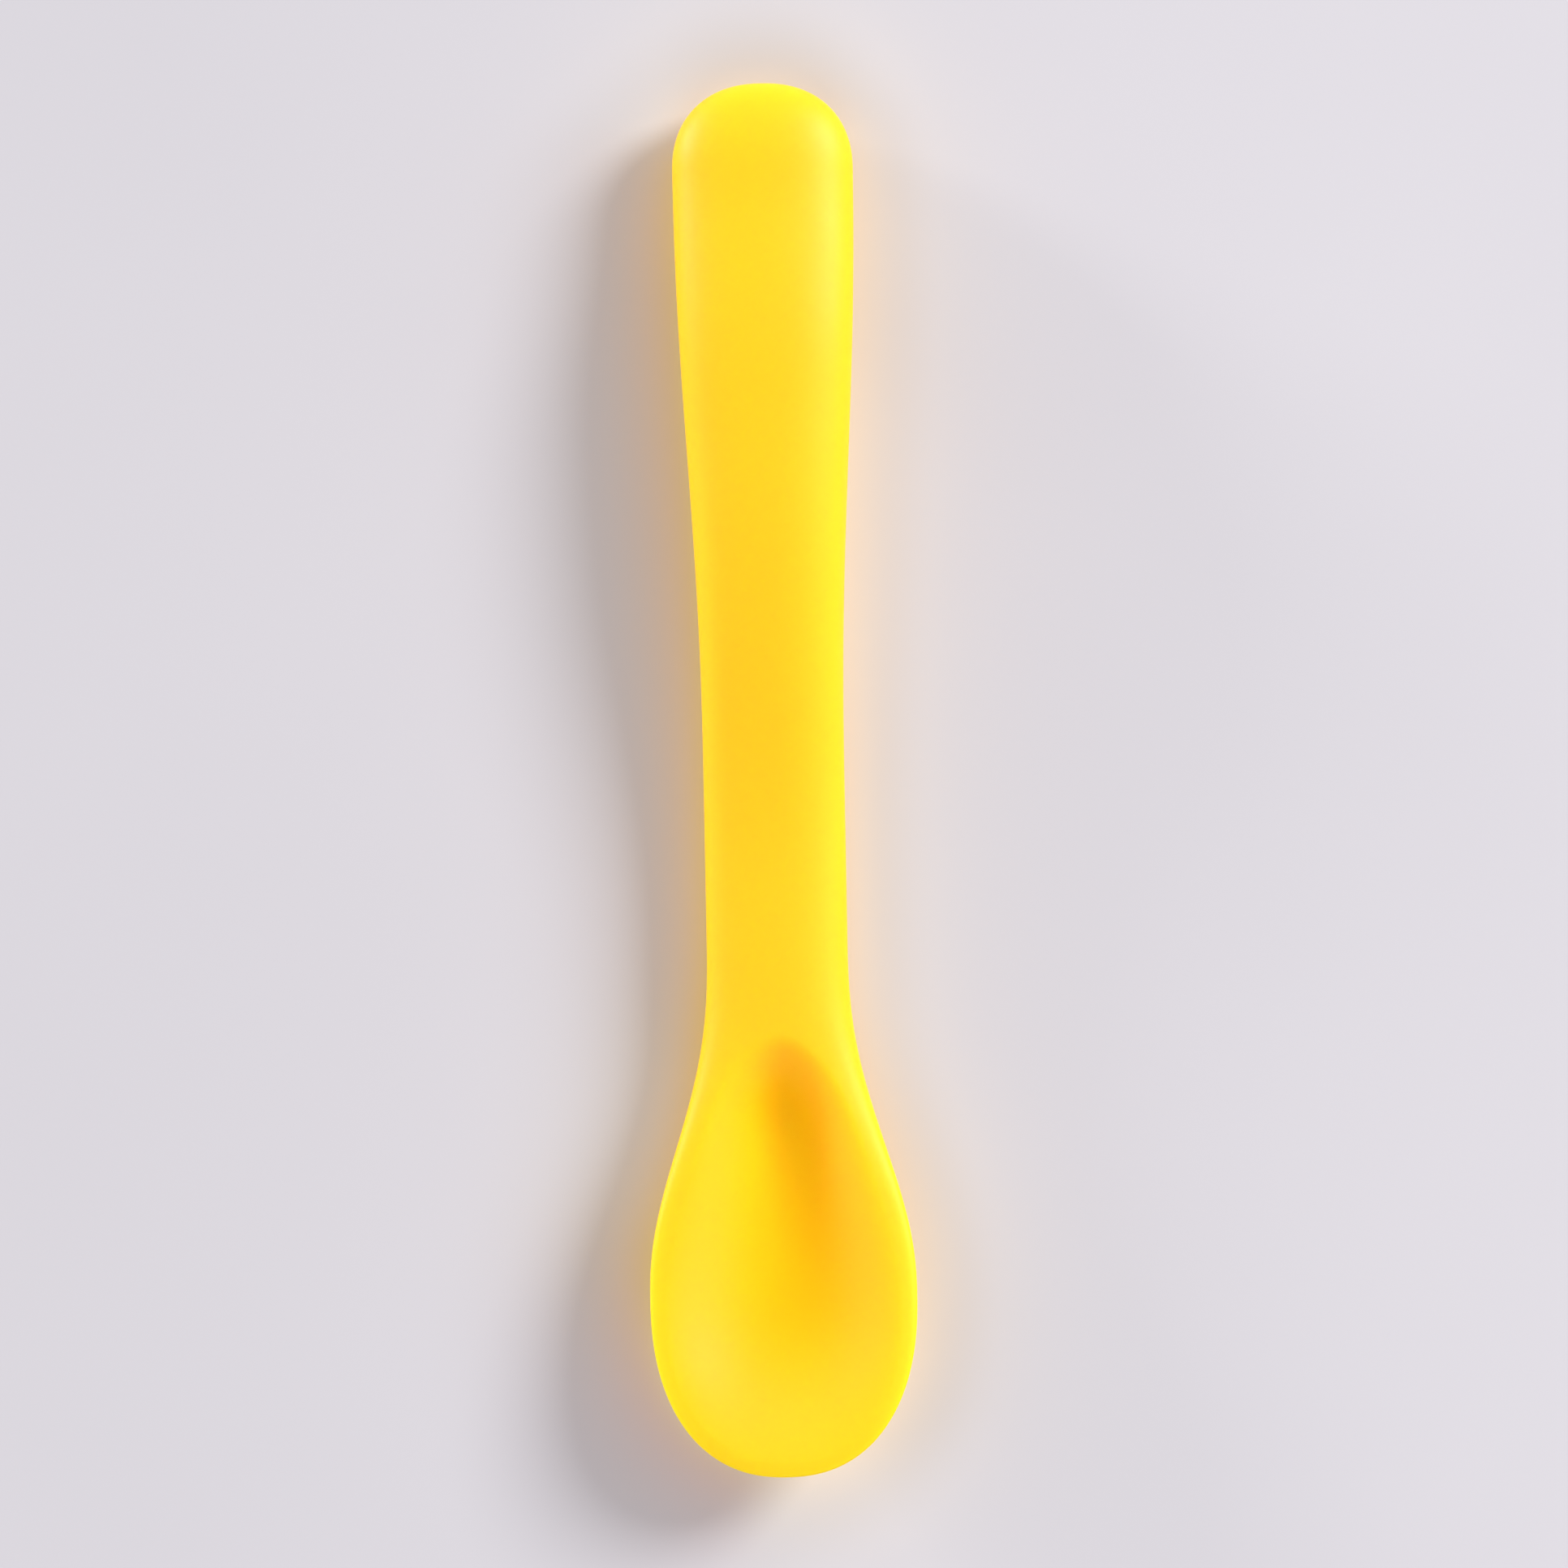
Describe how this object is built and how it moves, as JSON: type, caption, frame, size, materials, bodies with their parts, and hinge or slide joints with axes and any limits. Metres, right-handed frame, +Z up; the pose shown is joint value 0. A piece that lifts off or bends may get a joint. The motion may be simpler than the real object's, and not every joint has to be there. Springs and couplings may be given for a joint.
{
  "type": "baby spoon",
  "caption": "Short soft baby spoon with a shallow oval bowl, a narrow neck and a rounded, gently arched handle, moulded in silicone over a stiff core.",
  "frame": {"origin": "bottom centre of the bounding box, on the surface that the spoon rests on", "axes": "+X across the spoon; +Y along it, from the bowl tip to the handle end; +Z up, the side that the hollow opens to"},
  "size_m": [0.0268, 0.14, 0.0114],
  "materials": {
    "silicone": "satin, slightly translucent food-grade silicone",
    "nylon": "matt natural nylon, hidden inside the silicone"
  },
  "bodies": {
    "root": {"silicone_body": "silicone", "nylon_core": "nylon"}
  },
  "joints": []
}
